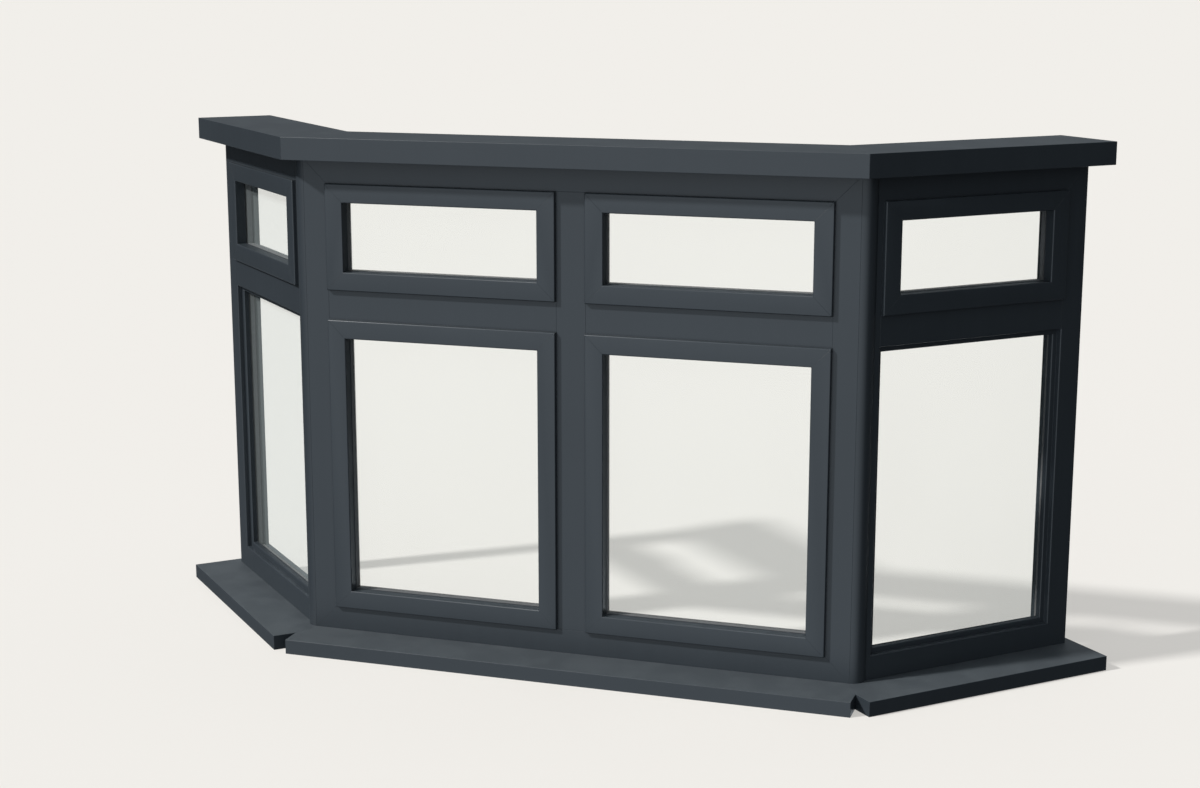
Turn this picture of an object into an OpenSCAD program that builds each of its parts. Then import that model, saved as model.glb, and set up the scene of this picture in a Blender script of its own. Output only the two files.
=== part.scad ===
// Three-facet casement bay window: a wide centre facet and two side facets
// that turn back towards the wall, on a projecting sill and under a
// projecting head board. Millimetres, +Z up, +Y into the building.
// The origin is on the underside of the sill, under the middle of the centre
// facet, in the plane of the frames' outer face.

/* [Bay] */
// Width of the centre facet between its two corner lines
centre_w = 1500; // [1200:10:2400]
// Width of a side facet from the corner line to its wall end
side_w = 700; // [500:10:1200]
// Height of the frames between sill and head
frame_h = 1300; // [1000:10:1800]
// Angle by which each side facet turns back from the centre facet
bay_turn = 45; // [30:5:60]

/* [Frame] */
// Depth of the frames from outside to inside
frame_d = 70; // [66:1:90]
// Face width of the outer frame
frame_face = 65; // [50:1:90]
// Face width of the mullion and the transoms
bar_face = 80; // [70:1:110]
// Height of the top lights between transom and outer frame
top_light_h = 285; // [240:5:400]
// Thickness of the frame's inner leg, which the sashes close against
inner_leg_t = 16; // [12:1:18]
// How far the inner leg overlaps a sash
inner_lap = 5; // [3:1:6]

/* [Sashes] */
// Face width of a sash member
sash_face = 50; // [44:1:60]
// How far a sash stands proud of the frame
sash_proud = 12; // [8:1:16]
// How far the sash flange laps over the frame
sash_lap = 8; // [6:1:10]
// Gap around the body of a sash
sash_gap = 2; // [1:0.5:3]
// Gap between a sash and the frame's inner leg, filled by the seal
seal_gap = 2; // [1:0.5:3]
// Chamfer on the outer edges of sashes and openings
edge_chamfer = 2; // [1:0.5:3]

/* [Glazing] */
// Thickness of one pane
pane_t = 4; // [4:1:6]
// Width of the sealed space between two panes
cavity_t = 16; // [10:1:16]
// Depth of the glass behind the face of a sash
sash_glass_set = 30; // [26:1:32]
// How far a sash covers the edge of its glass
glass_bite = 12; // [10:1:14]
// Gap around the edge of every glass unit
glass_gap = 2; // [1:0.5:3]
// Slope of the sash beads, measured across their face
bead_slope = 5; // [2:1:8]
// Width of the spacer bar with its edge sealant, across the glass
spacer_w = 11; // [5:1:12]

/* [Fixed lights] */
// Depth of the step in the opening, behind the frame's face
step_set = 15; // [10:1:18]
// Width of the step
step_w = 15; // [8:1:20]
// Depth of the glass behind the frame's face
fixed_glass_set = 30; // [26:1:32]
// How far the frame covers the edge of the glass, inside
fixed_bite = 8; // [6:1:12]

/* [Sill and head] */
// Thickness of the sill boards
sill_t = 40; // [30:1:60]
// How far the sill stands out from the face of the frames
sill_proj = 135; // [90:5:180]
// How far each sill board runs on past the ends of its facet
sill_horn = 30; // [0:5:35]
// Thickness of the head boards
head_t = 60; // [40:1:80]
// How far the head stands out from the face of the frames
head_proj = 70; // [40:5:120]
// How far the head reaches back from the face of the frames
head_back = 150; // [90:5:250]
// How far the head runs on past the wall end of a side facet
head_horn = 30; // [0:5:60]

/* [Corner posts] */
// Diameter of the bore along a corner post
post_bore_d = 20; // [10:1:22]

/* [Handles] */
// Length of a handle's base plate
handle_base_l = 110; // [80:5:140]
// Width of a handle's base plate
handle_base_w = 19; // [15:1:20]
// Thickness of a handle's base plate
handle_base_t = 9; // [6:1:12]
// Length of a handle's lever from its spindle
handle_lever_l = 105; // [80:5:130]
// Width of a handle's lever
handle_lever_w = 16; // [12:1:18]
// Thickness of a handle's lever
handle_lever_t = 9; // [6:1:12]
// Distance of the lever from the sash
handle_reach = 30; // [22:1:45]

/* [Hidden] */
$fn = 96;
// Overshoot of cutting shapes
over = 1;
// Run-on of the crossed prisms that make a splayed box
run_on = 100;

// Least wall of a side frame's stile between the corner post and the glass
stile_wall = 5;

// Corner line of the right-hand bay corner
corner_x = centre_w / 2;
half_turn = bay_turn / 2;
// Radius of the corner posts, which are as deep as the frames
post_r = frame_d / 2;
// Start of a side frame, where the post's round face leaves the side facet
side_start = 2 * post_r * sin(bay_turn);
// Centre of a post's bore, as far from the centre frame as from the side frame
post_bore_x = post_r * sin(bay_turn) / (1 + cos(bay_turn));

// Depths, measured from the frames' outer face
leg_y = frame_d - inner_leg_t;
sash_back_y = leg_y - seal_gap;
unit_t = 2 * pane_t + cavity_t;
sash_glass_y = sash_glass_set - sash_proud;
sash_bead_y = sash_glass_y + unit_t;
fixed_bead_y = fixed_glass_set + unit_t;

// Insets from a light's sight line, positive towards the middle of the light
sash_body_in = sash_lap + sash_gap;
leg_in = sash_body_in + inner_lap;
sash_rebate_in = sash_face - glass_bite - glass_gap;
sash_glass_in = sash_rebate_in + glass_gap;
fixed_glass_in = -fixed_bite;
fixed_rebate_in = fixed_glass_in - glass_gap;
// Middle of the flat band that a handle sits on
handle_in = (leg_in + sash_rebate_in) / 2;

// Heights of the sight lines above the origin
base_z = sill_t;
head_z = base_z + frame_h;
low_z0 = base_z + frame_face;
top_z1 = head_z - frame_face;
top_z0 = top_z1 - top_light_h;
low_z1 = top_z0 - bar_face;

// Lights as [left, right, bottom, top] sight lines in their facet's own axes
half_bar = bar_face / 2;
light_cl_low = [-corner_x + frame_face, -half_bar, low_z0, low_z1];
light_cr_low = [half_bar, corner_x - frame_face, low_z0, low_z1];
light_cl_top = [-corner_x + frame_face, -half_bar, top_z0, top_z1];
light_cr_top = [half_bar, corner_x - frame_face, top_z0, top_z1];
// A side light starts where a wall of the stile is left between post and glass
side_line = max(frame_face, side_start - fixed_rebate_in + stile_wall);
light_s_low = [side_line, side_w - frame_face, low_z0, low_z1];
light_s_top = [side_line, side_w - frame_face, top_z0, top_z1];

// ---- Helpers ------------------------------------------------------------

// Light r with every sight line moved in by d
function inset(r, d) = [r[0] + d, r[1] - d, r[2] + d, r[3] - d];

// Places a side facet's own axes: +1 is the right-hand facet, -1 the left
module on_side(side) {
    mirror([side < 0 ? 1 : 0, 0, 0])
        translate([corner_x, 0, 0])
            rotate([0, 0, bay_turn])
                children();
}

// Box over light r between depths y0 and y1
module slab(r, y0, y1) {
    translate([r[0], y0, r[2]])
        cube([r[1] - r[0], y1 - y0, r[3] - r[2]]);
}

// Box over light r whose sides run in by d0 at depth y0 and by d1 at y1
module splay(r, y0, y1, d0, d1) {
    intersection() {
        translate([0, 0, r[2] - run_on])
            linear_extrude(r[3] - r[2] + 2 * run_on)
                polygon([
                    [r[0] + d0, y0], [r[1] - d0, y0],
                    [r[1] - d1, y1], [r[0] + d1, y1]
                ]);
        translate([r[0] - run_on, 0, 0])
            rotate([90, 0, 90])
                linear_extrude(r[1] - r[0] + 2 * run_on)
                    polygon([
                        [y0, r[2] + d0], [y0, r[3] - d0],
                        [y1, r[3] - d1], [y1, r[2] + d1]
                    ]);
    }
}

// Chamfer cutter around the front edge of an opening at depth y
module front_chamfer(r, y) {
    splay(r, y - over, y + edge_chamfer, -edge_chamfer - over, 0);
}

// ---- Openings in the frames -----------------------------------------------

// Space for a sash: wide in front, narrower behind at the inner leg
module sash_opening(r) {
    slab(inset(r, sash_lap), -over, leg_y);
    slab(inset(r, leg_in), leg_y - over, frame_d + over);
}

// Space of a light that is glazed straight into the frame, with its step
module fixed_opening(r) {
    front_chamfer(r, 0);
    slab(r, -over, step_set);
    front_chamfer(inset(r, step_w), step_set);
    slab(inset(r, step_w), step_set - over, fixed_glass_set + over);
    slab(inset(r, fixed_rebate_in), fixed_glass_set, frame_d + over);
}

module side_facet_solid() {
    difference() {
        slab([side_start, side_w, base_z, head_z], 0, frame_d);
        sash_opening(light_s_top);
        fixed_opening(light_s_low);
    }
}

module centre_facet_solid() {
    difference() {
        slab([-corner_x, corner_x, base_z, head_z], 0, frame_d);
        for (r = [light_cl_low, light_cr_low, light_cl_top, light_cr_top])
            sash_opening(r);
    }
}

// Space of a transom that runs between sight lines x0 and x1
module transom_zone(x0, x1) {
    slab([x0, x1, low_z1 - step_w, top_z0 + leg_in], -over, frame_d + over);
}

// Space of the mullion, between the sight lines of bottom and top rail
module mullion_zone() {
    slab([-half_bar - leg_in, half_bar + leg_in, low_z0, top_z1], -over, frame_d + over);
}

module centre_transom_zones() {
    transom_zone(light_cl_low[0], light_cl_low[1]);
    transom_zone(light_cr_low[0], light_cr_low[1]);
}

// ---- Frames -----------------------------------------------------------------

module side_frame(side) {
    color("#3f4850")
        on_side(side)
            difference() {
                side_facet_solid();
                transom_zone(light_s_top[0], light_s_top[1]);
            }
}

module side_transom(side) {
    color("#3f4850")
        on_side(side)
            intersection() {
                side_facet_solid();
                transom_zone(light_s_top[0], light_s_top[1]);
            }
}

module centre_frame() {
    color("#3f4850")
        difference() {
            centre_facet_solid();
            mullion_zone();
            centre_transom_zones();
        }
}

module mullion() {
    color("#3f4850")
        difference() {
            intersection() {
                centre_facet_solid();
                mullion_zone();
            }
            centre_transom_zones();
        }
}

module centre_transom(r) {
    color("#3f4850")
        intersection() {
            centre_facet_solid();
            transom_zone(r[0], r[1]);
        }
}

// Round post that fills the corner between the centre frame and a side frame
module corner_post(side) {
    color("#434d55")
        mirror([side < 0 ? 1 : 0, 0, 0])
            translate([corner_x, 0, base_z])
                difference() {
                    intersection() {
                        translate([0, post_r, 0])
                            cylinder(h = frame_h, r = post_r);
                        cube([2 * post_r, 2 * post_r, frame_h]);
                        rotate([0, 0, bay_turn])
                            translate([side_start - 4 * post_r, -2 * post_r, 0])
                                cube([4 * post_r, 6 * post_r, frame_h]);
                    }
                    // Bore of the post, in the middle of its section
                    translate([post_bore_x, post_r, -over])
                        cylinder(h = frame_h + 2 * over, d = post_bore_d);
                }
}

// ---- Sashes -----------------------------------------------------------------

module sash(r) {
    color("#46515a")
        difference() {
            union() {
                splay(r, -sash_proud, -sash_proud + edge_chamfer, edge_chamfer, 0);
                slab(r, -sash_proud + edge_chamfer, 0);
                slab(inset(r, sash_body_in), -over, sash_back_y);
            }
            front_chamfer(inset(r, sash_face), -sash_proud);
            slab(inset(r, sash_face), -sash_proud - over, sash_glass_y + over);
            slab(inset(r, sash_rebate_in), sash_glass_y, sash_back_y + over);
        }
}

// ---- Glazing ----------------------------------------------------------------

// Two panes of a sealed unit over light r, whose outer face is at depth y
module glass_unit(r, y) {
    color("#cfe0e4", 0.35) {
        slab(r, y, y + pane_t);
        slab(r, y + pane_t + cavity_t, y + unit_t);
    }
}

module sash_glass(r) {
    glass_unit(inset(r, sash_glass_in), sash_glass_y);
}

module fixed_glass(r) {
    glass_unit(inset(r, fixed_glass_in), fixed_glass_set);
}

// Spacer bar between the panes of a glass unit over light r
module spacer(r, y) {
    color("#8d9092")
        difference() {
            slab(inset(r, 1), y + pane_t, y + pane_t + cavity_t);
            slab(inset(r, 1 + spacer_w), y, y + unit_t);
        }
}

// Bead that holds the glass in a sash, sloping open towards the room
module sash_bead(r) {
    color("#46515a")
        difference() {
            slab(inset(r, sash_rebate_in), sash_bead_y, sash_back_y);
            splay(inset(r, sash_face), sash_bead_y, sash_back_y, 0, -bead_slope);
        }
}

// Bead that holds the glass in a fixed light
module fixed_bead(r) {
    color("#46515a")
        difference() {
            slab(inset(r, fixed_rebate_in), fixed_bead_y, frame_d);
            slab(r, fixed_bead_y - over, frame_d + over);
        }
}

module side_beads(side) {
    on_side(side) {
        sash_bead(light_s_top);
        fixed_bead(light_s_low);
    }
}

module centre_beads() {
    for (r = [light_cl_low, light_cr_low, light_cl_top, light_cr_top])
        sash_bead(r);
}

module side_spacers(side) {
    on_side(side) {
        spacer(inset(light_s_top, sash_glass_in), sash_glass_y);
        spacer(inset(light_s_low, fixed_glass_in), fixed_glass_set);
    }
}

module centre_spacers() {
    for (r = [light_cl_low, light_cr_low, light_cl_top, light_cr_top])
        spacer(inset(r, sash_glass_in), sash_glass_y);
}

// ---- Handles ----------------------------------------------------------------

// Flat bar with round ends from the origin to length l, standing up from z 0
module round_bar(l, w, t) {
    cylinder(h = t, d = w);
    translate([0, -w / 2, 0])
        cube([l, w, t]);
    translate([l, 0, 0])
        cylinder(h = t, d = w);
}

// Handle on the room side of a sash; the lever points along +X
module handle() {
    color("#3a4046")
        translate([0, sash_back_y, 0])
            rotate([-90, 0, 0]) {
                translate([-handle_base_l / 2 + handle_base_w / 2, 0, 0])
                    round_bar(handle_base_l - handle_base_w, handle_base_w, handle_base_t);
                cylinder(h = handle_reach, d = handle_lever_w - 3);
                translate([0, 0, handle_reach - handle_lever_t])
                    round_bar(handle_lever_l - handle_lever_w, handle_lever_w, handle_lever_t);
            }
}

// Handle lying along the bottom rail of a top-hung sash
module top_handle(r) {
    translate([(r[0] + r[1]) / 2, 0, r[2] + handle_in])
        handle();
}

// Handle standing on the stile of a side-hung sash, by the mullion
module low_handle(side) {
    translate([side * (half_bar + handle_in), 0, (low_z0 + low_z1) / 2])
        rotate([0, 90, 0])
            handle();
}

// ---- Sill and head ----------------------------------------------------------

// Plan of a board on a side facet: mitred at the corner line, square at the wall
module side_board_plan(proj, back, horn, corner_horn) {
    polygon([
        [-corner_horn, -proj],
        [side_w + horn, -proj],
        [side_w + horn, back],
        [back * tan(half_turn), back],
        [-corner_horn, -corner_horn / tan(half_turn)]
    ]);
}

// Plan of a board on the centre facet: mitred at both corner lines
module centre_board_plan(proj, back, corner_horn) {
    front_x = corner_x + corner_horn;
    back_x = corner_x - back * tan(half_turn);
    mitre_y = -corner_horn / tan(half_turn);
    polygon([
        [-front_x, -proj], [front_x, -proj], [front_x, mitre_y],
        [back_x, back], [-back_x, back], [-front_x, mitre_y]
    ]);
}

module side_sill(side) {
    color("#4a555e")
        on_side(side)
            linear_extrude(sill_t)
                side_board_plan(sill_proj, frame_d, sill_horn, sill_horn);
}

module centre_sill() {
    color("#4a555e")
        linear_extrude(sill_t)
            centre_board_plan(sill_proj, frame_d, sill_horn);
}

module side_head(side) {
    color("#4a555e")
        on_side(side)
            translate([0, 0, head_z])
                linear_extrude(head_t)
                    side_board_plan(head_proj, head_back, head_horn, head_proj * tan(half_turn));
}

module centre_head() {
    color("#4a555e")
        translate([0, 0, head_z])
            linear_extrude(head_t)
                centre_board_plan(head_proj, head_back, head_proj * tan(half_turn));
}

// ---- Nodes ------------------------------------------------------------------

side_sill(-1);  // sill_left
centre_sill();  // sill_centre
side_sill(1);  // sill_right
side_head(-1);  // head_left
centre_head();  // head_centre
side_head(1);  // head_right
side_frame(-1);  // frame_left
centre_frame();  // frame_centre
side_frame(1);  // frame_right
corner_post(-1);  // corner_post_left
corner_post(1);  // corner_post_right
mullion();
side_transom(-1);  // transom_left
centre_transom(light_cl_low);  // transom_centre_left
centre_transom(light_cr_low);  // transom_centre_right
side_transom(1);  // transom_right
on_side(-1) sash(light_s_top);  // sash_top_left
sash(light_cl_top);  // sash_top_centre_left
sash(light_cr_top);  // sash_top_centre_right
on_side(1) sash(light_s_top);  // sash_top_right
sash(light_cl_low);  // sash_low_centre_left
sash(light_cr_low);  // sash_low_centre_right
on_side(-1) sash_glass(light_s_top);  // glass_top_left
sash_glass(light_cl_top);  // glass_top_centre_left
sash_glass(light_cr_top);  // glass_top_centre_right
on_side(1) sash_glass(light_s_top);  // glass_top_right
on_side(-1) fixed_glass(light_s_low);  // glass_low_left
sash_glass(light_cl_low);  // glass_low_centre_left
sash_glass(light_cr_low);  // glass_low_centre_right
on_side(1) fixed_glass(light_s_low);  // glass_low_right
side_beads(-1);  // beads_left
centre_beads();  // beads_centre
side_beads(1);  // beads_right
side_spacers(-1);  // spacers_left
centre_spacers();  // spacers_centre
side_spacers(1);  // spacers_right
on_side(-1) top_handle(light_s_top);  // handle_top_left
mirror([1, 0, 0]) top_handle(light_cr_top);  // handle_top_centre_left
top_handle(light_cr_top);  // handle_top_centre_right
on_side(1) top_handle(light_s_top);  // handle_top_right
low_handle(-1);  // handle_low_centre_left
low_handle(1);  // handle_low_centre_right
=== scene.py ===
"""Visual model of a three-facet casement bay window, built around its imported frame."""

import logging
import math
from collections.abc import Callable, Mapping, Sequence
from dataclasses import dataclass, field, replace
from enum import Enum
from typing import Any, ClassVar

import bpy
from mathutils import Matrix, Vector


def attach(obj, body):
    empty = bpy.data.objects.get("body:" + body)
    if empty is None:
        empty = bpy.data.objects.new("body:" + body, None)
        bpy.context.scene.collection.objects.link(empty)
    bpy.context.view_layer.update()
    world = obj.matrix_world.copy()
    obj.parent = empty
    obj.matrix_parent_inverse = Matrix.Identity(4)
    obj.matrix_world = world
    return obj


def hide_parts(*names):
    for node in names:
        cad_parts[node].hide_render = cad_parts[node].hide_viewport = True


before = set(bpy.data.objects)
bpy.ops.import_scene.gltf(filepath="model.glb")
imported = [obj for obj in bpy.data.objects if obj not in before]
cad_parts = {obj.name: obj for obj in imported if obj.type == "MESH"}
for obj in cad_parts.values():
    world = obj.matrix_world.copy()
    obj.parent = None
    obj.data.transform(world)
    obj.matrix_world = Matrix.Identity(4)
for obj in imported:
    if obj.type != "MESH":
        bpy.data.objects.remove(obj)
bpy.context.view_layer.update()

log = logging.getLogger("bay_window")

BODY = "root"
Colour = tuple[float, float, float]
Span = tuple[float, float]
Socket = bpy.types.NodeSocket


# ---- Facets and lights ------------------------------------------------------


@dataclass(frozen=True)
class BaySizes:
    """Sizes of the bay that its parts share, in metres and degrees."""

    corner_x: float = 0.750
    side_w: float = 0.700
    turn: float = 45.0
    face: float = 0.065
    half_bar: float = 0.040
    low_z0: float = 0.105
    low_z1: float = 0.910
    top_z0: float = 0.990
    top_z1: float = 1.275


BAY = BaySizes()


class Facet(Enum):
    """The three facets, each with the sign of its side."""

    LEFT = -1
    CENTRE = 0
    RIGHT = 1

    def place(self) -> Matrix:
        """Where the facet's own axes lie: along it, into the room, and up."""
        if self is Facet.CENTRE:
            return Matrix.Identity(4)
        turned = Matrix.Rotation(math.radians(BAY.turn), 4, "Z")
        side = Matrix.Translation((BAY.corner_x, 0.0, 0.0)) @ turned
        mirror = Matrix.Scale(float(self.value), 4, (1.0, 0.0, 0.0))
        return mirror @ side


class Glazing(Enum):
    """How a light is glazed: in an opening sash, or straight into the frame."""

    SASH = "sash"
    FIXED = "fixed"


@dataclass(frozen=True)
class Light:
    """One glazed opening, by its sight lines in its facet's own axes."""

    name: str
    facet: Facet
    glazing: Glazing
    left: float
    right: float
    low: float
    high: float

    def inset(self, by: float) -> tuple[float, float, float, float]:
        """The sight lines moved in by a distance, as left, right, low and high."""
        return self.left + by, self.right - by, self.low + by, self.high - by


def bay_lights() -> list[Light]:
    """The eight lights of the bay."""
    inner, outer = BAY.half_bar, BAY.corner_x - BAY.face
    start, end = BAY.face, BAY.side_w - BAY.face
    low = (BAY.low_z0, BAY.low_z1)
    top = (BAY.top_z0, BAY.top_z1)
    spans = [
        ("centre_left", Facet.CENTRE, -outer, -inner),
        ("centre_right", Facet.CENTRE, inner, outer),
        ("left", Facet.LEFT, start, end),
        ("right", Facet.RIGHT, start, end),
    ]
    lights = []
    for name, facet, x0, x1 in spans:
        below = Glazing.SASH if facet is Facet.CENTRE else Glazing.FIXED
        lights.append(Light(f"top_{name}", facet, Glazing.SASH, x0, x1, *top))
        lights.append(Light(f"low_{name}", facet, below, x0, x1, *low))
    return lights


# ---- Shader graph -----------------------------------------------------------


class Value:
    """A number in a shader graph that takes part in ordinary arithmetic."""

    def __init__(self, graph: "ShaderGraph", socket: Socket) -> None:
        """Wraps a socket.

        Args:
            graph: The graph that new nodes go into.
            socket: The output that gives the number.
        """
        self.graph = graph
        self.socket = socket

    def _math(self, operation: str, first: Any, second: Any) -> "Value":
        """Adds a Math node and returns its result."""
        made = self.graph.node("ShaderNodeMath", {"operation": operation}, {0: first, 1: second})
        return Value(self.graph, made.outputs[0])

    def __add__(self, other: Any) -> "Value":
        """Sum."""
        return self._math("ADD", self, other)

    __radd__ = __add__

    def __sub__(self, other: Any) -> "Value":
        """Difference."""
        return self._math("SUBTRACT", self, other)

    def __rsub__(self, other: Any) -> "Value":
        """Difference from a number on the left."""
        return self._math("SUBTRACT", other, self)

    def __mul__(self, other: Any) -> "Value":
        """Product."""
        return self._math("MULTIPLY", self, other)

    __rmul__ = __mul__

    def __abs__(self) -> "Value":
        """Size without the sign."""
        return self._math("ABSOLUTE", self, 0.0)


class ShaderGraph:
    """The nodes of one material or world."""

    def __init__(self, tree: bpy.types.NodeTree) -> None:
        """Takes over an empty tree.

        Args:
            tree: The node tree to fill.
        """
        self.tree = tree
        self.tree.nodes.clear()

    def node(
        self,
        kind: str,
        settings: Mapping[str, Any] | None = None,
        sockets: Mapping[str | int, Any] | None = None,
    ) -> bpy.types.Node:
        """Adds a node.

        Args:
            kind: The node's type.
            settings: Its properties, set first.
            sockets: Values or links of its inputs, by name or index.

        Returns:
            The new node.
        """
        made = self.tree.nodes.new(kind)
        for name, value in (settings or {}).items():
            setattr(made, name, value)
        for key, value in (sockets or {}).items():
            target = made.inputs[key]
            source = value.socket if isinstance(value, Value) else value
            if isinstance(source, Socket):
                self.tree.links.new(source, target)
            else:
                target.default_value = source
        return made

    def place(self) -> Socket:
        """Object coordinates, which are metres in the bay's own frame."""
        return self.node("ShaderNodeTexCoord").outputs["Object"]

    def stretched(self, place: Socket, scale: Sequence[float]) -> Socket:
        """Coordinates stretched along the axes.

        Args:
            place: The coordinates.
            scale: Factor for each axis.

        Returns:
            The new coordinates.
        """
        mapping = self.node("ShaderNodeMapping", None, {"Vector": place, "Scale": scale})
        return mapping.outputs[0]

    def noise(self, place: Socket, scale: float, detail: float = 2.0) -> Value:
        """Noise between 0 and 1.

        Args:
            place: The coordinates to read.
            scale: Features per metre.
            detail: Octaves.

        Returns:
            The noise.
        """
        made = self.node(
            "ShaderNodeTexNoise", None, {"Vector": place, "Scale": scale, "Detail": detail}
        )
        return Value(self, made.outputs[0])

    def ramp(self, value: Value, low: float, high: float) -> Value:
        """Smooth step from 0 at low to 1 at high.

        Args:
            value: The number to step.
            low: Start of the step.
            high: End of the step.

        Returns:
            The stepped number.
        """
        made = self.node(
            "ShaderNodeMapRange",
            {"interpolation_type": "SMOOTHSTEP"},
            {0: value, 1: low, 2: high},
        )
        return Value(self, made.outputs[0])

    def axes(self, vector: Socket) -> tuple[Value, Value, Value]:
        """The three numbers of a vector."""
        made = self.node("ShaderNodeSeparateXYZ", None, {0: vector})
        return tuple(Value(self, made.outputs[i]) for i in range(3))

    def mixed(self, share: Any, first: Any, second: Any) -> Socket:
        """Mixes two colours.

        Args:
            share: How much of the second colour, from 0 to 1.
            first: The first colour, or a link to one.
            second: The second colour, or a link to one.

        Returns:
            The mixed colour.
        """
        pair = [(*c, 1.0) if isinstance(c, tuple) else c for c in (first, second)]
        made = self.node(
            "ShaderNodeMix", {"data_type": "RGBA"}, {0: share, 6: pair[0], 7: pair[1]}
        )
        return made.outputs[2]

    def relief(self, height: Value, strength: float, depth: float) -> Socket:
        """A normal bumped by a height.

        Args:
            height: The height, from 0 to 1.
            strength: Share of the bump that shows.
            depth: Depth of the relief in metres.

        Returns:
            The normal.
        """
        made = self.node(
            "ShaderNodeBump", None, {"Height": height, "Strength": strength, "Distance": depth}
        )
        return made.outputs[0]


def shade(colour: Colour, factor: float) -> Colour:
    """The colour made lighter or darker by a factor."""
    return tuple(min(1.0, c * factor) for c in colour)


class Finish:
    """A finish whose material is made once and then shared."""

    made: ClassVar[dict[str, bpy.types.Material]] = {}
    name: str

    def material(self) -> bpy.types.Material:
        """The finish's material."""
        if self.name not in Finish.made:
            material = bpy.data.materials.new(self.name)
            material.use_nodes = True
            graph = ShaderGraph(material.node_tree)
            surface = self.surface(graph)
            graph.node("ShaderNodeOutputMaterial", None, {"Surface": surface})
            Finish.made[self.name] = material
        return Finish.made[self.name]

    def surface(self, graph: ShaderGraph) -> Socket:
        """Builds the shader; each finish has its own."""
        raise NotImplementedError


@dataclass(frozen=True)
class MitreLines:
    """The welded mitres of a frame or sash, by the sight lines of its corners."""

    facet: Facet
    left: float
    right: float
    low: float
    high: float
    half_width: float = 0.0005

    def mask(self, graph: ShaderGraph, place: Socket) -> Value:
        """How much of a weld there is at a place.

        Args:
            graph: The graph that the nodes go into.
            place: Coordinates in the bay's frame.

        Returns:
            1 in the middle of a weld and 0 off it.
        """
        x, y, z = graph.axes(place)
        along = self.facet.place().inverted()
        across = x * along[0][0] + y * along[0][1] + along[0][3]
        off_side = abs(across - (self.left + self.right) / 2) - (self.right - self.left) / 2
        off_end = abs(z - (self.low + self.high) / 2) - (self.high - self.low) / 2
        reach = self.half_width * math.sqrt(2.0)
        return 1.0 - graph.ramp(abs(off_side - off_end), 0.0, reach)


@dataclass(frozen=True)
class SatinProfile(Finish):
    """Through-coloured or foiled profile: faint mottling, rain streaks, settled dust, and an even
    painted sheen that lightens its upward faces.
    """

    name: str
    colour: Colour
    roughness: float = 0.40
    mottle: float = 0.06
    peel_scale: float = 950.0
    peel_depth: float = 0.00006
    streaks: float = 0.5
    dust: float = 0.07
    smear_and_painted_sheen: float = 0.0
    mitre: MitreLines | None = None
    dust_and_painted_sheen_colour: Colour = (0.130, 0.145, 0.152)
    broad_scale: float = 2.3
    broad_share: float = 1.3
    fine_scale: float = 380.0
    fine_share: float = 0.5
    streak_stretch: tuple[float, float, float] = (48.0, 48.0, 1.7)
    settle_scale: float = 14.0
    settle_span: Span = (0.42, 0.66)
    upward_span: Span = (0.70, 0.97)
    sloping_span: Span = (0.2, 0.5)
    weld_tone: float = 0.45
    weld_depth: float = 0.0004
    index: float = 1.48

    def surface(self, graph: ShaderGraph) -> Socket:
        """Builds the profile's shader."""
        place = graph.place()
        facing = graph.axes(graph.node("ShaderNodeNewGeometry").outputs["Normal"])
        broad = graph.noise(place, self.broad_scale, 4.0)
        fine = graph.noise(place, self.fine_scale, 2.0)
        streak = graph.noise(graph.stretched(place, self.streak_stretch), 1.0, 3.0)
        peel = graph.noise(place, self.peel_scale, 1.0)
        settled = graph.noise(place, self.settle_scale, 5.0)
        upward = graph.ramp(facing[2], *self.upward_span)
        upright = 1.0 - graph.ramp(abs(facing[2]), *self.sloping_span)

        tone = 0.5 + (broad - 0.5) * self.broad_share + (fine - 0.5) * self.fine_share
        tone = tone + (streak - 0.5) * upright * self.streaks
        body = graph.mixed(
            graph.ramp(tone, 0.0, 1.0),
            shade(self.colour, 1.0 - self.mottle),
            shade(self.colour, 1.0 + self.mottle),
        )
        # Upward faces: settled dust in patches, plus an even painted sheen that lightens them in
        # place of reflected light.
        dust_and_painted_sheen = (graph.ramp(settled, *self.settle_span) * self.dust + self.smear_and_painted_sheen) * upward
        colour = graph.mixed(dust_and_painted_sheen, body, self.dust_and_painted_sheen_colour)
        rough = self.roughness + (broad - 0.5) * 0.08 + (fine - 0.5) * 0.05
        rough = rough + (streak - 0.5) * upright * 0.08 + dust_and_painted_sheen * 0.3
        normal = graph.relief(peel * 0.7 + fine * 0.3, 0.35, self.peel_depth)
        if self.mitre is not None:
            weld = self.mitre.mask(graph, place)
            weld_colour = shade(self.colour, self.weld_tone)
            colour = graph.mixed(weld * self.weld_tone, colour, weld_colour)
            rough = rough + weld * 0.12
            groove = {
                "Height": 1.0 - weld,
                "Strength": 0.8,
                "Distance": self.weld_depth,
                "Normal": normal,
            }
            normal = graph.node("ShaderNodeBump", None, groove).outputs[0]
        shader = graph.node(
            "ShaderNodeBsdfPrincipled",
            None,
            {"Base Color": colour, "Roughness": rough, "Normal": normal, "IOR": self.index},
        )
        return shader.outputs[0]


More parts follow.
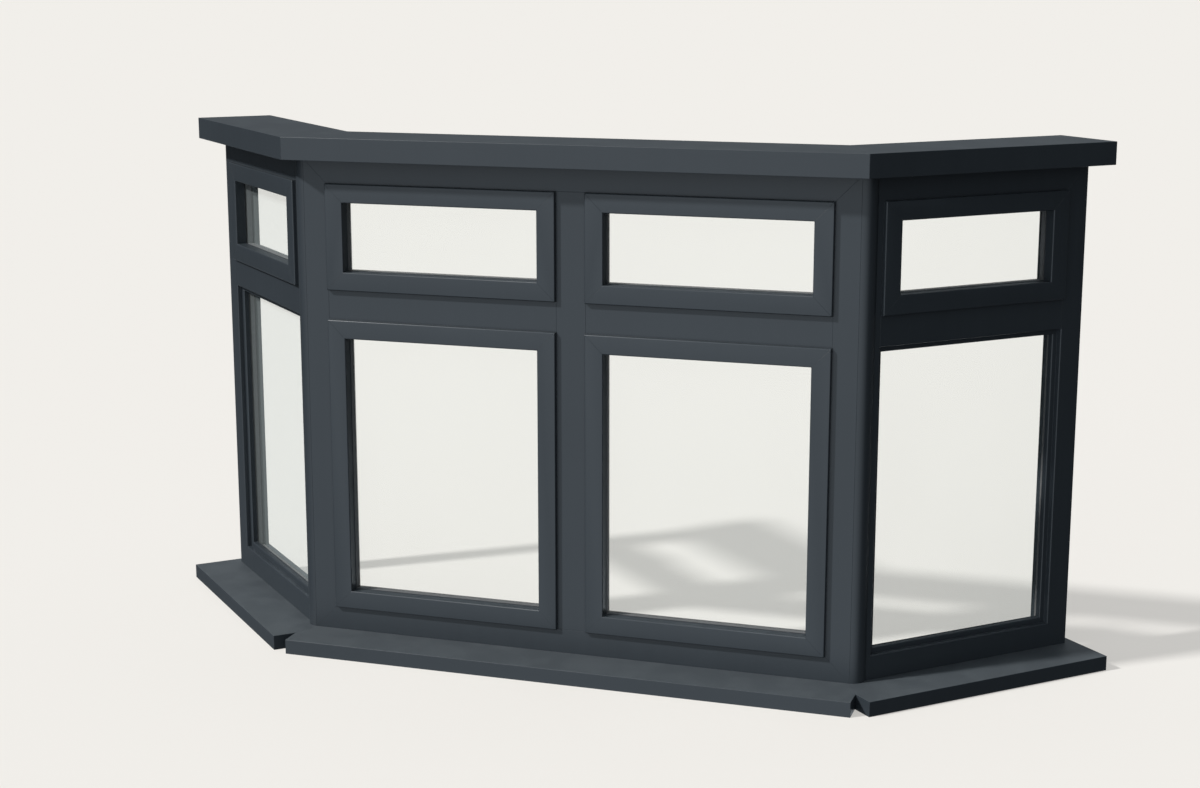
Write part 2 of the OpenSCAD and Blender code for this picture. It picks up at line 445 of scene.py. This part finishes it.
@dataclass(frozen=True)
class GrainedFinish(Finish):
    """Cast, turned or moulded surface with a fine grain, a little rubbed by hands."""

    name: str
    colour: Colour
    metallic: float
    roughness: float
    grain_scale: float = 1600.0
    grain_depth: float = 0.00004
    rub_scale: float = 60.0

    def surface(self, graph: ShaderGraph) -> Socket:
        """Builds the surface's shader."""
        place = graph.place()
        grain = graph.noise(place, self.grain_scale, 2.0)
        handled = graph.noise(place, self.rub_scale, 4.0)
        colour = graph.mixed(
            graph.ramp(handled * 0.6 + grain * 0.4, 0.3, 0.7),
            shade(self.colour, 0.90),
            shade(self.colour, 1.12),
        )
        rough = self.roughness + (handled - 0.5) * 0.16 + (grain - 0.5) * 0.10
        normal = graph.relief(grain, 0.3, self.grain_depth)
        shader = graph.node(
            "ShaderNodeBsdfPrincipled",
            None,
            {
                "Base Color": colour,
                "Metallic": self.metallic,
                "Roughness": rough,
                "Normal": normal,
            },
        )
        return shader.outputs[0]


@dataclass(frozen=True)
class Rubber(Finish):
    """Extruded grey rubber of the glazing and weather seals."""

    name: str = "seal_rubber"
    colour: Colour = (0.026, 0.030, 0.034)
    roughness: float = 0.58
    bloom_scale: float = 35.0
    grain_scale: float = 2200.0
    grain_depth: float = 0.00005

    def surface(self, graph: ShaderGraph) -> Socket:
        """Builds the rubber's shader."""
        place = graph.place()
        bloom = graph.noise(place, self.bloom_scale, 4.0)
        grain = graph.noise(place, self.grain_scale, 1.0)
        bloomed = graph.ramp(bloom, 0.35, 0.7)
        colour = graph.mixed(bloomed, self.colour, shade(self.colour, 1.5))
        rough = self.roughness + (bloom - 0.5) * 0.2
        shader = graph.node(
            "ShaderNodeBsdfPrincipled",
            None,
            {
                "Base Color": colour,
                "Roughness": rough,
                "Normal": graph.relief(grain, 0.4, self.grain_depth),
            },
        )
        return shader.outputs[0]


@dataclass(frozen=True)
class ClearGlass(Finish):
    """Float glass of the sealed units: clear, with faint smears that catch light."""

    name: str = "clear_glass"
    tint: Colour = (0.992, 0.997, 0.995)
    sheen_colour: Colour = (0.60, 0.66, 0.65)
    smear_and_painted_sheen: float = 0.006
    glare: float = 0.10
    smear_stretch: tuple[float, float, float] = (3.0, 3.0, 1.2)
    wave_scale: float = 1.6
    wave_depth: float = 0.0004
    index: float = 1.5
    edge_index: float = 1.45

    def surface(self, graph: ShaderGraph) -> Socket:
        """Builds the glass's shader."""
        place = graph.place()
        smear = graph.noise(graph.stretched(place, self.smear_stretch), 1.0, 4.0)
        wave = graph.noise(place, self.wave_scale, 1.0)
        edge = graph.node("ShaderNodeFresnel", None, {"IOR": self.edge_index}).outputs[0]
        share = Value(graph, edge) * self.glare + graph.ramp(smear, 0.35, 0.8) * self.smear_and_painted_sheen
        clear = graph.node("ShaderNodeBsdfTransparent", None, {"Color": (*self.tint, 1.0)})
        sheet = graph.node(
            "ShaderNodeBsdfPrincipled",
            None,
            {
                "Base Color": (*self.sheen_colour, 1.0),
                "Roughness": 0.04 + graph.ramp(smear, 0.3, 0.8) * 0.05,
                "IOR": self.index,
                "Normal": graph.relief(wave, 0.05, self.wave_depth),
            },
        )
        both = graph.node(
            "ShaderNodeMixShader", None, {0: share, 1: clear.outputs[0], 2: sheet.outputs[0]}
        )
        return both.outputs[0]


@dataclass(frozen=True)
class StudioFloor(Finish):
    """Pale studio floor with soft, light shadows."""

    name: str = "studio_floor"
    colour: Colour = (0.8796, 0.8469, 0.7991)
    albedo: float = 0.36
    colour_level: float = 0.86
    glow: float = 0.495

    def surface(self, graph: ShaderGraph) -> Socket:
        """Builds the floor's shader."""
        shader = graph.node(
            "ShaderNodeBsdfPrincipled",
            None,
            {
                "Base Color": (*shade(self.colour, self.albedo / self.colour_level), 1.0),
                "Roughness": 1.0,
                "Specular IOR Level": 0.0,
                "Emission Color": (*self.colour, 1.0),
                "Emission Strength": self.glow,
            },
        )
        return shader.outputs[0]


# Tones of the grey family, as linear colours
ANTHRACITE: Colour = (0.0262, 0.0325, 0.0385)
# The sill and head tops carry an even painted sheen that lightens them in place of reflected
# light; the head's is slight.
SILL = SatinProfile("sill_anthracite", ANTHRACITE, roughness=0.42, dust=0.09, smear_and_painted_sheen=0.25)
HEAD = SatinProfile("head_anthracite", ANTHRACITE, roughness=0.42, dust=0.07, smear_and_painted_sheen=0.02)
PROFILE = SatinProfile("profile_anthracite", ANTHRACITE, roughness=0.40)
SASH = SatinProfile("sash_anthracite", shade(ANTHRACITE, 1.02), roughness=0.38)
BEAD = SatinProfile("bead_anthracite", shade(ANTHRACITE, 1.04), roughness=0.36, streaks=0.2)
POST = SatinProfile(
    "post_powder_coat", shade(ANTHRACITE, 0.98), roughness=0.44, peel_scale=1400.0, streaks=0.4
)
HANDLE = GrainedFinish(
    "handle_graphite", (0.038, 0.042, 0.046), metallic=0.35, roughness=0.38
)
SCREW = GrainedFinish("screw_steel", (0.55, 0.55, 0.53), metallic=1.0, roughness=0.32)
SPACER = GrainedFinish(
    "spacer_warm_edge", (0.12, 0.118, 0.118), metallic=0.0, roughness=0.5
)


# ---- Shaping ----------------------------------------------------------------

SAME_POINT = 0.00002
FLAT_WITHIN = math.radians(0.5)
SHARP_FROM = math.radians(28.0)
MEMBER_CRISP = 12.0
SQUARE_ON = 0.9


def alone(piece: bpy.types.Object) -> None:
    """Makes a piece the only selected and the active object."""
    bpy.ops.object.select_all(action="DESELECT")
    piece.select_set(True)
    bpy.context.view_layer.objects.active = piece


class Pick(Enum):
    """What a selection in edit mode is made of."""

    VERTICES = (True, False, False)
    EDGES = (False, True, False)
    FACES = (False, False, True)


def edit(piece: bpy.types.Object, pick: Pick, test: Callable[[Any], bool]) -> None:
    """Enters edit mode with what passes the test selected.

    Args:
        piece: The object to edit.
        pick: Whether vertices, edges or faces are tested.
        test: Takes a vertex, edge or face of the mesh.
    """
    alone(piece)
    bpy.context.scene.tool_settings.mesh_select_mode = pick.value
    mesh = piece.data
    for group in (mesh.vertices, mesh.edges, mesh.polygons):
        group.foreach_set("select", [False] * len(group))
    chosen = {
        Pick.VERTICES: mesh.vertices,
        Pick.EDGES: mesh.edges,
        Pick.FACES: mesh.polygons,
    }[pick]
    for part in chosen:
        part.select = test(part)
    bpy.ops.object.mode_set(mode="EDIT")


def leave_edit() -> None:
    """Returns to object mode."""
    bpy.ops.object.mode_set(mode="OBJECT")


def whole(_: Any) -> bool:
    """Test that selects everything."""
    return True


def soften(piece: bpy.types.Object, width: float, segments: int = 2, crisp: float = 32.0) -> None:
    """Rounds a piece's sharp edges and shades it.

    Args:
        piece: The object to round.
        width: Width of the rounding in metres.
        segments: Steps across the rounding.
        crisp: Angle past which an edge shades as a sharp one, in degrees.
    """
    alone(piece)
    bevel = piece.modifiers.new("rounding", "BEVEL")
    bevel.width = width
    bevel.segments = segments
    bevel.limit_method = "ANGLE"
    bevel.angle_limit = SHARP_FROM
    bpy.ops.object.modifier_apply(modifier=bevel.name)
    bpy.ops.object.shade_smooth_by_angle(angle=math.radians(crisp))


def settle(piece: bpy.types.Object, place: Matrix) -> None:
    """Puts a piece where a matrix says, with the place in its mesh.

    Args:
        piece: A closed object at the origin.
        place: Where it goes in the bay's frame.
    """
    alone(piece)
    piece.matrix_world = place
    bpy.ops.object.transform_apply(location=True, rotation=True, scale=True)
    if place.determinant() < 0.0:
        edit(piece, Pick.FACES, whole)
        bpy.ops.mesh.normals_make_consistent(inside=False)
        leave_edit()


def block(name: str, low: Sequence[float], high: Sequence[float]) -> bpy.types.Object:
    """A box to shape further.

    Args:
        name: Its name.
        low: Lowest corner.
        high: Highest corner.

    Returns:
        The new object, with its place in its mesh.
    """
    lowest, highest = Vector(low), Vector(high)
    bpy.ops.object.select_all(action="DESELECT")
    bpy.ops.mesh.primitive_cube_add(size=1.0, location=(lowest + highest) / 2)
    made = bpy.context.active_object
    made.name = name
    made.scale = highest - lowest
    bpy.ops.object.transform_apply(location=True, rotation=True, scale=True)
    return made


def disc(name: str, radius: float, foot: Sequence[float], height: float) -> bpy.types.Object:
    """An upright round bar along the room direction, to shape further.

    Args:
        name: Its name.
        radius: Its radius.
        foot: Middle of its end nearest the sash.
        height: How far it stands into the room.

    Returns:
        The new object, with its place in its mesh.
    """
    middle = Vector(foot) + Vector((0.0, height / 2, 0.0))
    bpy.ops.object.select_all(action="DESELECT")
    bpy.ops.mesh.primitive_cylinder_add(
        vertices=40,
        radius=radius,
        depth=height,
        location=middle,
        rotation=(-math.pi / 2, 0.0, 0.0),
    )
    made = bpy.context.active_object
    made.name = name
    bpy.ops.object.transform_apply(location=True, rotation=True, scale=True)
    return made


def merge_pieces(name: str, parts: Sequence[bpy.types.Object]) -> bpy.types.Object:
    """Joins shaped parts into one piece.

    Args:
        name: The piece's name.
        parts: The objects to join.

    Returns:
        The joined object.
    """
    bpy.ops.object.select_all(action="DESELECT")
    for part in parts:
        part.select_set(True)
    bpy.context.view_layer.objects.active = parts[0]
    bpy.ops.object.join()
    parts[0].name = name
    return parts[0]


def copy_of(name: str, master: bpy.types.Object) -> bpy.types.Object:
    """A copy of an object with its own mesh."""
    made = master.copy()
    made.data = master.data.copy()
    made.name = name
    bpy.context.scene.collection.objects.link(made)
    return made


def clean_copy(name: str, node: str) -> bpy.types.Object:
    """A copy of a node with its triangles merged into one closed skin.

    Args:
        name: The copy's name.
        node: The node to copy.

    Returns:
        The copy, which rides on nothing yet.
    """
    piece = copy_of(name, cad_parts[node])
    for key in [k for k in piece.keys() if k.startswith("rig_")]:
        del piece[key]
    piece.hide_render = False
    edit(piece, Pick.VERTICES, whole)
    bpy.ops.mesh.remove_doubles(threshold=SAME_POINT)
    bpy.ops.mesh.tris_convert_to_quads(face_threshold=FLAT_WITHIN, shape_threshold=math.pi)
    leave_edit()
    return piece


def dress(piece: bpy.types.Object, finish: Finish, slot: str, *nodes: str) -> None:
    """Gives a piece its finish and its body, and hides the nodes that it replaces.

    Args:
        piece: The finished object.
        finish: Its finish.
        slot: The record's material slot.
        nodes: The nodes that it replaces.
    """
    piece.data.materials.clear()
    piece.data.materials.append(finish.material())
    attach(piece, BODY)
    if nodes:
        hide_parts(*nodes)
    log.info("piece %s: %d faces, slot %s", piece.name, len(piece.data.polygons), slot)


# ---- Members ----------------------------------------------------------------


@dataclass
class Member:
    """A frame, board, sash, bead or post with its edges rounded as the real profile's are."""

    node: str
    finish: Finish
    slot: str
    rounding: float = 0.0007
    segments: int = 2

    def build(self) -> bpy.types.Object:
        """Builds and dresses the member.

        Returns:
            The finished piece.
        """
        piece = clean_copy(f"{self.node}_rounded", self.node)
        soften(piece, self.rounding, self.segments, MEMBER_CRISP)
        dress(piece, self.finish, self.slot, self.node)
        return piece


@dataclass
class Carcass:
    """The boards, frames, posts, sashes and beads of the bay."""

    lights: Sequence[Light]
    board_rounding: float = 0.0008
    sash_rounding: float = 0.0009
    sash_segments: int = 3
    halves: tuple[str, ...] = ("left", "centre_left", "centre_right", "right")

    def build(self) -> None:
        """Builds every member."""
        for facet in Facet:
            place = facet.name.lower()
            Member(f"sill_{place}", SILL, "board", self.board_rounding).build()
            Member(f"head_{place}", HEAD, "board", self.board_rounding).build()
            Member(f"frame_{place}", self._frame_finish(facet), "frame").build()
            Member(f"beads_{place}", BEAD, "bead").build()
            if facet is not Facet.CENTRE:
                Member(f"corner_post_{place}", POST, "post").build()
        for place in self.halves:
            Member(f"transom_{place}", PROFILE, "frame").build()
        Member("mullion", PROFILE, "frame").build()
        for light in self.lights:
            if light.glazing is Glazing.SASH:
                self._sash(light)

    def _sash(self, light: Light) -> None:
        """Builds the sash of one opening light."""
        finish = self._sash_finish(light)
        rounding, segments = self.sash_rounding, self.sash_segments
        Member(f"sash_{light.name}", finish, "sash", rounding, segments).build()

    def _frame_finish(self, facet: Facet) -> Finish:
        """The frame finish, with welds at the facet's own corners."""
        here = [light for light in self.lights if light.facet is facet]
        left, right = min(x.left for x in here), max(x.right for x in here)
        mitre = MitreLines(facet, left, right, BAY.low_z0, BAY.top_z1)
        return replace(PROFILE, name=f"{PROFILE.name}_{facet.name.lower()}", mitre=mitre)

    @staticmethod
    def _sash_finish(light: Light) -> Finish:
        """The sash finish, with welds at the light's own corners."""
        mitre = MitreLines(light.facet, *light.inset(0.0))
        return replace(SASH, name=f"{SASH.name}_{light.name}", mitre=mitre)


# ---- Seals ------------------------------------------------------------------


@dataclass
class SealRing:
    """A seal that runs round a light as one mitred loop."""

    name: str
    light: Light
    outer: float
    inner: float
    front: float
    back: float
    rounding: float = 0.0006

    def build(self) -> bpy.types.Object:
        """Builds and dresses the ring.

        Returns:
            The finished piece.
        """
        x0, x1, z0, z1 = self.light.inset(self.outer)
        piece = block(self.name, (x0, self.front, z0), (x1, self.back, z1))
        edit(piece, Pick.FACES, lambda face: abs(face.normal.y) > SQUARE_ON)
        bpy.ops.mesh.inset(thickness=self.inner - self.outer, use_individual=True)
        bpy.ops.mesh.bridge_edge_loops()
        bpy.ops.mesh.select_all(action="SELECT")
        bpy.ops.mesh.normals_make_consistent(inside=False)
        leave_edit()
        soften(piece, self.rounding)
        settle(piece, self.light.facet.place())
        dress(piece, Rubber(), "bead")
        return piece


@dataclass(frozen=True)
class SealBed:
    """Where a seal lies: in from the light's sight line, and from its front to its back."""

    inset: float
    front: float
    back: float


@dataclass
class SealSet:
    """The glazing seals and the weather seal of one light."""

    light: Light
    lip: float = 0.0011
    weather_lip: float = 0.0006
    weather_proud: float = 0.0016
    weather_rounding: float = 0.0004
    beds: ClassVar[dict[Glazing, dict[str, SealBed]]] = {
        Glazing.SASH: {
            "out": SealBed(0.050, 0.0162, 0.018),
            "in": SealBed(0.050, 0.042, 0.0436),
        },
        Glazing.FIXED: {
            "out": SealBed(0.015, 0.0282, 0.030),
            "in": SealBed(0.0, 0.054, 0.0556),
        },
    }

    def build(self) -> None:
        """Builds the light's seals."""
        light = self.light
        for side, bed in self.beds[light.glazing].items():
            inner = bed.inset + self.lip
            name = f"seal_{side}_{light.name}"
            SealRing(name, light, bed.inset, inner, bed.front, bed.back).build()
        if light.glazing is Glazing.SASH:
            name = f"seal_weather_{light.name}"
            front, rounding = -self.weather_proud, self.weather_rounding
            SealRing(name, light, -self.weather_lip, 0.0, front, 0.0, rounding).build()


# ---- Handles ----------------------------------------------------------------


@dataclass
class LeverHandle:
    """Casement handle: a rose plate, a neck and a tapered lever, with its two screws."""

    rose_l: float = 0.110
    rose_w: float = 0.019
    rose_t: float = 0.009
    lever_l: float = 0.105
    lever_w: float = 0.016
    lever_t: float = 0.009
    reach: float = 0.030
    stand: float = 0.052
    edge_in: float = 0.0255
    screw_pitch: float = 0.086
    screw_r: float = 0.0036
    button_r: float = 0.0042
    rose_rim: float = 0.0032
    lever_rim: float = 0.0030
    collar_t: float = 0.003
    collar_w: float = 0.0016
    neck_l: float = 0.011
    neck_rim: float = 0.0006
    sunk: float = 0.0006
    screw_lip: float = 0.0016
    trim_rim: float = 0.0002
    sweep: tuple[tuple[float, float, float], ...] = (
        (0.018, 0.80, 0.0),
        (0.030, 0.97, -0.0008),
        (0.026, 1.12, 0.0004),
    )

    def _rose(self) -> bpy.types.Object:
        """The rose plate, with round ends and a domed rim."""
        half_l, half_w = self.rose_l / 2, self.rose_w / 2
        rose = block("rose", (-half_l, 0.0, -half_w), (half_l, self.rose_t, half_w))
        edit(rose, Pick.EDGES, lambda e: self._runs(rose, e, 1))
        bpy.ops.mesh.bevel(offset=half_w * 0.98, segments=10, affect="EDGES")
        leave_edit()
        soften(rose, self.rose_rim, 5)
        return rose

    @staticmethod
    def _runs(piece: bpy.types.Object, edge: bpy.types.MeshEdge, axis: int) -> bool:
        """True if an edge runs along an axis."""
        first, second = (piece.data.vertices[i].co for i in edge.vertices)
        along = (second - first).normalized()
        return abs(along[axis]) > 0.99

    def _neck(self) -> bpy.types.Object:
        """The neck, with a collar where it meets the rose."""
        foot = (0.0, self.rose_t - self.sunk, 0.0)
        neck = disc("neck", self.lever_w / 2, foot, self.collar_t)
        edit(neck, Pick.FACES, self._outer_end)
        bpy.ops.mesh.inset(thickness=self.collar_w)
        move = {"value": (0.0, self.neck_l, 0.0)}
        bpy.ops.mesh.extrude_region_move(TRANSFORM_OT_translate=move)
        leave_edit()
        soften(neck, self.neck_rim, 3)
        return neck

    @staticmethod
    def _outer_end(face: bpy.types.MeshPolygon) -> bool:
        """True for the end of a round bar that points into the room."""
        return face.normal.y > SQUARE_ON

    def _lever(self) -> bpy.types.Object:
        """The lever, tapered and swept towards its tip in steps of length, taper and rise."""
        half_w = self.lever_w / 2
        base = self.reach - self.lever_t
        hub = half_w * 1.5
        lever = block("lever", (-half_w, base, -half_w), (hub, self.reach, half_w))
        steps = list(self.sweep)
        run = self.lever_l - half_w - hub - sum(step[0] for step in steps)
        steps.append((run, 0.92, 0.0004))
        for length, taper, rise in steps:
            edit(lever, Pick.FACES, lambda face: face.normal.x > 0.85)
            move = {"value": (length, rise, 0.0)}
            bpy.ops.mesh.extrude_region_move(TRANSFORM_OT_translate=move)
            bpy.ops.transform.resize(value=(1.0, 1.0, taper))
            leave_edit()
        edit(lever, Pick.EDGES, lambda e: self._runs(lever, e, 1) and self._at_end(lever, e))
        bpy.ops.mesh.bevel(offset=half_w * 0.85, segments=8, affect="EDGES")
        leave_edit()
        soften(lever, self.lever_rim, 5)
        return lever

    @staticmethod
    def _at_end(piece: bpy.types.Object, edge: bpy.types.MeshEdge) -> bool:
        """True if an edge lies at either end of the lever."""
        x = [v.co.x for v in piece.data.vertices]
        here = piece.data.vertices[edge.vertices[0]].co.x
        return min(here - min(x), max(x) - here) < 0.0005

    def _screw(self, x: float) -> bpy.types.Object:
        """A countersunk screw in the rose, with its driver recess."""
        screw = disc("screw", self.screw_r, (x, self.rose_t - 0.002, 0.0), 0.0023)
        self._sink(screw, self.screw_lip, 0.0009)
        return screw

    def _sink(self, piece: bpy.types.Object, rim: float, depth: float) -> None:
        """Sinks the middle of a round head and eases its edges.

        Args:
            piece: The head.
            rim: Width of the rim that stays.
            depth: How far the middle sinks.
        """
        edit(piece, Pick.FACES, self._outer_end)
        bpy.ops.mesh.inset(thickness=rim)
        move = {"value": (0.0, -depth, 0.0)}
        bpy.ops.mesh.extrude_region_move(TRANSFORM_OT_translate=move)
        leave_edit()
        soften(piece, self.trim_rim, 2)

    def _button(self) -> bpy.types.Object:
        """The lock's press button in the end of the neck."""
        button = disc("button", self.button_r, (0.0, self.reach - 0.001, 0.0), 0.0022)
        self._sink(button, 0.0010, 0.0005)
        return button

    def build(self, lights: Sequence[Light]) -> None:
        """Builds the handle once and puts a copy on each opening light.

        Args:
            lights: All lights; fixed ones are passed over.
        """
        grip = merge_pieces("grip_master", [self._rose(), self._neck(), self._lever()])
        half = self.screw_pitch / 2
        trim = merge_pieces(
            "trim_master", [self._screw(-half), self._screw(half), self._button()]
        )
        for light in lights:
            if light.glazing is Glazing.FIXED:
                continue
            place = light.facet.place() @ self._spot(light)
            for master, finish, word in ((grip, HANDLE, "lever"), (trim, SCREW, "trim")):
                piece = copy_of(f"handle_{light.name}_{word}", master)
                settle(piece, place)
                nodes = [f"handle_{light.name}"] if master is grip else []
                dress(piece, finish, "handle", *nodes)
        for master in (grip, trim):
            bpy.data.objects.remove(master)

    def _spot(self, light: Light) -> Matrix:
        """Where the handle sits on a light's sash, in the facet's own axes."""
        edge = self.edge_in
        if light.name.startswith("top"):
            middle = (light.left + light.right) / 2
            spot = Matrix.Translation((middle, self.stand, light.low + edge))
            flip = -1.0 if light.name == "top_centre_left" else 1.0
            return spot @ Matrix.Scale(flip, 4, (1.0, 0.0, 0.0))
        side = -1.0 if light.right < 0.0 else 1.0
        x = side * (BAY.half_bar + edge)
        spot = Matrix.Translation((x, self.stand, (light.low + light.high) / 2))
        return spot @ Matrix.Rotation(math.radians(90.0), 4, "Y")


# ---- Glass ------------------------------------------------------------------


@dataclass
class Glass:
    """The sealed units and the spacer bars inside them."""

    clear: Finish = field(default_factory=ClearGlass)
    ease: float = 0.0001
    arris: float = 0.0004

    def build(self) -> None:
        """Builds the panes and dresses the spacers, which keep their own meshes."""
        for name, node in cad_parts.items():
            if name.startswith("glass_"):
                self._panes(name)
            elif name.startswith("spacers_"):
                self._dress(node, SPACER, "spacer")

    def _panes(self, name: str) -> None:
        """The two panes of a unit, eased off what they bed on, with their arrises taken off."""
        panes = clean_copy(f"{name}_panes", name)
        edit(panes, Pick.VERTICES, whole)
        bpy.ops.transform.shrink_fatten(value=-self.ease, use_even_offset=True)
        leave_edit()
        soften(panes, self.arris, 1, MEMBER_CRISP)
        panes.visible_shadow = False
        dress(panes, self.clear, "glass", name)

    @staticmethod
    def _dress(node: bpy.types.Object, finish: Finish, slot: str) -> None:
        """Puts a finish on a node that stays as it is."""
        if not node.material_slots:
            node.data.materials.append(None)
        for place in node.material_slots:
            place.link = "OBJECT"
            place.material = finish.material()
        log.info("node %s keeps its shape, slot %s", node.name, slot)


# ---- Studio -----------------------------------------------------------------


@dataclass
class Studio:
    """Floor, light and camera."""

    camera_at: tuple[float, float, float] = (1.663, -4.881, 1.845)
    camera_turn: tuple[float, float] = (78.0, 17.98)
    lens: float = 60.82
    sensor: float = 36.0
    sun_along: tuple[float, float, float] = (0.602, 0.461, -0.652)
    sun_strength: float = 3.9
    sun_angle: float = 3.6
    floor_size: float = 300.0
    panes_seen_through: int = 32
    sky: Colour = (0.90, 0.98, 1.05)
    ambient: float = 0.05
    front: float = 0.76
    front_lift: float = 0.26
    back: float = 0.28
    room: float = 1.30
    zenith: float = 0.80
    ahead_span: Span = (0.45, 0.95)
    lift_span: Span = (-0.45, 0.05)
    back_span: Span = (0.25, 0.85)
    back_rise: Span = (0.0, 0.50)
    room_span: Span = (0.35, 0.85)
    room_drop: Span = (0.20, 0.45)
    zenith_span: Span = (0.70, 0.95)

    def build(self) -> None:
        """Builds the studio."""
        self._floor()
        self._sun()
        self._world()
        self._camera()
        scene = bpy.context.scene
        scene.view_settings.view_transform = "Standard"
        scene.cycles.transparent_max_bounces = self.panes_seen_through

    def _floor(self) -> None:
        """A wide pale floor under the sill."""
        bpy.ops.object.select_all(action="DESELECT")
        bpy.ops.mesh.primitive_plane_add(size=self.floor_size, location=(0.0, 0.0, 0.0))
        floor = bpy.context.active_object
        floor.name = "floor"
        floor.data.materials.append(StudioFloor().material())
        floor.visible_glossy = False
        floor.visible_diffuse = False

    def _sun(self) -> None:
        """The key light, from the upper left in front."""
        lamp = bpy.data.lights.new("key", "SUN")
        lamp.energy = self.sun_strength
        lamp.angle = math.radians(self.sun_angle)
        key = bpy.data.objects.new("key", lamp)
        key.rotation_euler = Vector(self.sun_along).to_track_quat("-Z", "Y").to_euler()
        bpy.context.scene.collection.objects.link(key)

    def _world(self) -> None:
        """Soft surround: bright in front, behind and overhead, dim to the sides."""
        world = bpy.data.worlds.new("surround")
        world.use_nodes = True
        bpy.context.scene.world = world
        graph = ShaderGraph(world.node_tree)
        way = graph.axes(graph.node("ShaderNodeTexCoord").outputs["Generated"])
        outdoors, indoors, up, down = 0.0 - way[1], way[1], way[2], 0.0 - way[2]
        level = graph.ramp(up, *self.lift_span) * self.front_lift + self.front
        ahead = graph.ramp(outdoors, *self.ahead_span) * level
        behind = graph.ramp(indoors, *self.back_span) * graph.ramp(up, *self.back_rise) * self.back
        room = graph.ramp(indoors, *self.room_span) * graph.ramp(down, *self.room_drop) * self.room
        above = graph.ramp(up, *self.zenith_span) * self.zenith
        glow = graph.node(
            "ShaderNodeBackground",
            None,
            {"Color": (*self.sky, 1.0), "Strength": ahead + behind + room + above + self.ambient},
        )
        paper = graph.node("ShaderNodeBackground", None, {"Color": (*StudioFloor().colour, 1.0)})
        seen = graph.node("ShaderNodeLightPath").outputs["Is Camera Ray"]
        both = graph.node(
            "ShaderNodeMixShader", None, {0: seen, 1: glow.outputs[0], 2: paper.outputs[0]}
        )
        graph.node("ShaderNodeOutputWorld", None, {"Surface": both.outputs[0]})

    def _camera(self) -> None:
        """The camera, from the front right and a little above."""
        lens = bpy.data.cameras.new("view")
        lens.lens = self.lens
        lens.sensor_width = self.sensor
        lens.sensor_fit = "HORIZONTAL"
        camera = bpy.data.objects.new("view", lens)
        camera.location = self.camera_at
        pitch, yaw = (math.radians(a) for a in self.camera_turn)
        camera.rotation_euler = (pitch, 0.0, yaw)
        bpy.context.scene.collection.objects.link(camera)
        bpy.context.scene.camera = camera


def main() -> None:
    """Builds the bay's pieces in order, then the studio."""
    logging.basicConfig(level=logging.INFO, format="%(levelname)s %(message)s")
    lights = bay_lights()
    Carcass(lights).build()
    for light in lights:
        SealSet(light).build()
    LeverHandle().build(lights)
    Glass().build()
    Studio().build()


if __name__ == "__main__":
    main()
